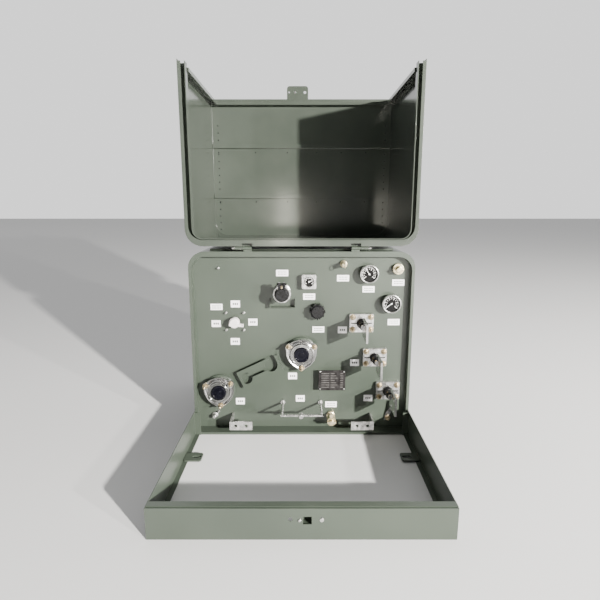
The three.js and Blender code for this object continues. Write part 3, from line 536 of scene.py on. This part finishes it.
eased("fuse_holder", "fuse_socket", 0.0008, cast_tin)
low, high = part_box("fuse_holder")
x, z = (low.x + high.x) / 2, (low.z + high.z) / 2
collar = turned("fuse_collar", x, z, [
    (0.0345, 0.056), (0.0370, 0.058), (0.0370, 0.0640), (0.0352, 0.0658), (0.0300, 0.0661)], 48, 0.0004)
mount(collar, "tank", cast_tin)
latch_bolt = stud_and_nut(x, z + 0.032, 0.080, 0.0048, 0.0025, 0.012)
latch_bolt.name = "latch_bolt"
mount(latch_bolt, "fuse", tan_brass)
face = turned("fuse_face", x, z, [(0.0312, 0.0663), (0.0312, 0.0672), (0.0298, 0.0678)], 40, 0.0002)
mount(face, "fuse", black_rubber)
prongs = [slab("prong", (x + side - 0.003, PANEL_FACE - 0.088, z + 0.018),
               (x + side + 0.003, PANEL_FACE - 0.070, z + 0.050), 0.0014, 0.0005) for side in (-0.012, 0.012)]
mount(joined(prongs, "latch_prongs"), "fuse", black_rubber)
eased("bayonet_fuse", "fuse_cap", 0.0008, black_rubber)
eased("drip_tray", "fuse_drip_tray", 0.0004, tank_paint)

# Gauges: black cases with white tick marks on their dials, a plated bezel and a painted needle.
# The square one is the oil level gauge.

dial_black, dial_shader = new_material("dial_enamel", 0.22, 0, 0.15)
tint(dial_black, dial_shader, noise_on(dial_black, 120, 2), (0.003, 0.003, 0.003), (0.007, 0.007, 0.007))
dial_white, white_shader = new_material("dial_print", 0.5)
tint(dial_white, white_shader, noise_on(dial_white, 150, 2), (0.72, 0.72, 0.70), (0.82, 0.82, 0.80))


def tick_ring(name, x, z, out, radius, count, sweep, start, long_every, size):
    ticks = []
    for index in range(count):
        angle = math.radians(start + sweep * index / (count - 1))
        length = size * (1.7 if index % long_every == 0 else 1)
        tick = slab("tick", (x - 0.0009, PANEL_FACE - out - 0.0004, z + radius - length),
                    (x + 0.0009, PANEL_FACE - out, z + radius), 0, 0)
        choose(tick)
        bpy.ops.object.mode_set(mode="EDIT")
        bpy.ops.mesh.select_all(action="SELECT")
        bpy.ops.transform.rotate(value=angle, orient_axis="Y", center_override=(x, PANEL_FACE, z))
        bpy.ops.object.mode_set(mode="OBJECT")
        ticks.append(tick)
    return joined(ticks, name)


for node, prefix, ring in (("pressure_gauge", "pressure", 0.038), ("thermometer", "temperature", 0.039)):
    low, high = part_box(node)
    x, z = (low.x + high.x) / 2, (low.z + high.z) / 2
    out = PANEL_FACE - low.y
    eased(node, f"{prefix}_gauge_case", 0.0008, dial_black)
    rim = turned(f"{prefix}_gauge_rim", x, z, [
        (ring + 0.0004, out - 0.011), (ring + 0.0004, out + 0.0004), (ring - 0.0020, out + 0.0016),
        (ring - 0.0040, out + 0.0004), (ring - 0.0048, out - 0.0085)], 48, 0.0002)
    mount(rim, "tank", zinc_plate)
    ticks = tick_ring(f"{prefix}_ticks", x, z, out - 0.008, ring - 0.0065, 21, 260, -130, 4, 0.0055)
    mount(ticks, "tank", dial_white)
    inner = tick_ring(f"{prefix}_inner_marks", x, z, out - 0.008, ring - 0.016, 11, 260, -130, 2, 0.003)
    mount(inner, "tank", dial_white)

low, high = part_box("level_gauge")
x, z = (low.x + high.x) / 2, (low.z + high.z) / 2
eased("level_gauge", "level_gauge_bezel", 0.0015, cast_tin, 3)
mount(turned("level_dial", x, z, [(0.0212, 0.0195), (0.0212, 0.0204), (0.0205, 0.0208)], 40, 0.0001),
      "tank", dial_black)
marks = tick_ring("level_ticks", x, z, 0.0211, 0.019, 13, 240, -120, 3, 0.004)
mount(marks, "tank", dial_white)
screws = [turned("screw", x + dx, z + dz, [(0.0032, 0.0255), (0.0032, 0.0268), (0.0024, 0.0274)], 16, 0.0002)
          for dx in (-0.024, 0.024) for dz in (-0.024, 0.024)]
mount(joined(screws, "level_bezel_screws"), "tank", zinc_plate)
for node, name in (("pressure_gauge_needle", "pressure_needle"), ("thermometer_needle", "temperature_needle"),
                   ("level_gauge_needle", "level_needle")):
    eased(node, name, 0.0002, dial_white)

# Controls and small fittings: a ribbed black tap-changer knob, a white switch handle with four
# screws round it, brass valves and plugs, and plated studs on the panel and in the sill.

eased("tap_changer_knob", "tap_knob_ribbed", 0.0012, black_rubber)
white_moulding, handle_shader = new_material("white_moulding", 0.35)
tint(white_moulding, handle_shader, noise_on(white_moulding, 60, 3), (0.66, 0.62, 0.62), (0.78, 0.74, 0.74))
eased("switch_handle", "switch_grip", 0.0015, white_moulding, 3)
yellow_brass, brass_shader = new_material("valve_brass", 0.3, 0.9)
tint(yellow_brass, brass_shader, noise_on(yellow_brass, 70, 4), (0.46, 0.40, 0.24), (0.76, 0.68, 0.48))
vary_gloss(yellow_brass, brass_shader, noise_on(yellow_brass, 50, 3), 0.22, 0.45)
for node, name in (("relief_valve", "relief_valve_body"), ("relief_ring", "relief_pull_ring"),
                   ("fill_plug", "oil_fill_plug"), ("drain_valve", "drain_valve_body"),
                   ("drain_handle", "drain_valve_handle")):
    eased(node, name, 0.0006, yellow_brass)
switch_x, switch_z = -0.286, 0.500
screw = turned("screw", 0, 0, [
    (0.0055, 0.0), (0.0055, 0.004), (0.0035, 0.0045), (0.0035, 0.013), (0.0028, 0.014)], 12, 0.0003)
screws = at_places(screw, [(switch_x + dx, switch_z + dz) for dx in (-0.038, 0.038) for dz in (-0.038, 0.038)]
                   + [(-0.350, 0.732), (-0.371, 0.084)], "panel_studs")
mount(screws, "tank", zinc_plate)
padlock_stud = turned("padlock_stud", -0.006, 0.066, [
    (0.0045, 0.6195), (0.0045, 0.6225), (0.003, 0.6234)], 16, 0.0004)
mount(padlock_stud, "tank", zinc_plate)
hole_plug = turned("spare_hole_plug", 0.060, 0.067, [
    (0.0065, 0.6195), (0.0065, 0.6215), (0.0045, 0.6225)], 20, 0.0004)
mount(hole_plug, "tank", zinc_plate)
small_boss = turned("small_boss", -0.387, 0.067, [
    (0.014, 0.0), (0.014, 0.006), (0.009, 0.008), (0.009, 0.022), (0.007, 0.024)], 24, 0.0006)
mount(small_boss, "tank", zinc_plate)
clamp_nut = turned("bus_connector", -0.002, 0.127, [
    (0.010, 0.110), (0.010, 0.131), (0.008, 0.133)], 8, 0.0006)
mount(clamp_nut, "tank", cast_tin)
prong = turned("knob_pointer_stud", 0.067, 0.515, [
    (0.003, 0.010), (0.003, 0.030), (0.002, 0.032)], 10, 0.0003)
mount(prong, "tank", black_rubber)

# Nameplate: dark etched metal on a stand-off bracket, riveted at its corners. Its print is left as
# plain bars.

etched, etched_shader = new_material("etched_plate", 0.32, 0.8)
tint(etched, etched_shader, noise_on(etched, 40, 4), (0.035, 0.032, 0.032), (0.075, 0.07, 0.07))
low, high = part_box("nameplate")
plate = eased("nameplate", "data_plate", 0.0008, etched)
rivets = [turned("rivet", cx, cz, [(0.0032, 0.0275), (0.0032, 0.0286), (0.0020, 0.0294)], 14, 0.0002)
          for cx in (low.x + 0.006, high.x - 0.006) for cz in (low.z + 0.006, high.z - 0.006)]
mount(joined(rivets, "data_plate_rivets"), "tank", zinc_plate)
bars = []
for row in range(7):
    level = high.z - 0.014 - row * 0.0105
    for start, end in ((0.012, 0.046), (0.052, 0.070 + 0.006 * (row % 3)), (0.094, 0.106)):
        bars.append(slab("bar", (low.x + start, PANEL_FACE - 0.02835, level - 0.002),
                         (low.x + end, PANEL_FACE - 0.02805, level + 0.002), 0, 0))
plate_print, print_shader = new_material("plate_print", 0.5, 0.4)
tint(plate_print, print_shader, noise_on(plate_print, 90, 2), (0.07, 0.066, 0.064), (0.11, 0.105, 0.10))
mount(joined(bars, "data_plate_bars"), "tank", plate_print)

# Identification labels: white laminated plastic stuck beside each fitting. They carry short dark
# dashes where the print would be.

label_white, label_shader = new_material("label_white", 0.4)
tint(label_white, label_shader, noise_on(label_white, 30, 2), (0.88, 0.87, 0.88), (0.94, 0.93, 0.94))
label_ink, ink_shader = new_material("label_ink", 0.5)
tint(label_ink, ink_shader, noise_on(label_ink, 120, 2), (0.02, 0.02, 0.024), (0.04, 0.04, 0.044))
LABELS = {
    "switch_heading": (-0.364, 0.563, 2), "switch_top": (-0.283, 0.576, 1), "switch_left": (-0.368, 0.489, 1),
    "switch_right": (-0.210, 0.496, 1), "switch_bottom": (-0.288, 0.409, 1), "fuse": (-0.082, 0.710, 2),
    "level": (0.032, 0.608, 2), "taps": (0.072, 0.463, 2), "relief": (0.175, 0.688, 2),
    "pressure": (0.284, 0.640, 2), "fill": (0.409, 0.669, 2), "temperature": (0.396, 0.496, 2),
    "terminal_x3": (0.176, 0.461, 1), "terminal_x1": (0.232, 0.312, 1), "terminal_x2": (0.295, 0.146, 1),
    "well_right": (-0.040, 0.250, 1), "well_left": (-0.273, 0.131, 1), "ground": (-0.006, 0.144, 1),
    "drain": (0.131, 0.116, 2),
}
cards, dashes = [], []
for x, z, lines in LABELS.values():
    half_width, half_height = (0.0255, 0.0135) if lines == 2 else (0.0195, 0.0150)
    cards.append(slab("card", (x - half_width, PANEL_FACE - 0.0010, z - half_height),
                      (x + half_width, PANEL_FACE - 0.0001, z + half_height), 0.0006, 0.0002))
    for line in range(lines):
        level = z + (0.0045 - 0.009 * line if lines == 2 else 0)
        tall = 0.0016 if lines == 2 else 0.0042
        count, pitch = (6, 0.0064) if lines == 2 else (3, 0.0085)
        for index in range(count):
            middle = x + (index - (count - 1) / 2) * pitch
            dashes.append(slab("dash", (middle - pitch * 0.33, PANEL_FACE - 0.0012, level - tall),
                               (middle + pitch * 0.33, PANEL_FACE - 0.0009, level + tall), 0, 0))
mount(joined(cards, "fitting_labels"), "tank", label_white)
mount(joined(dashes, "label_dashes"), "tank", label_ink)
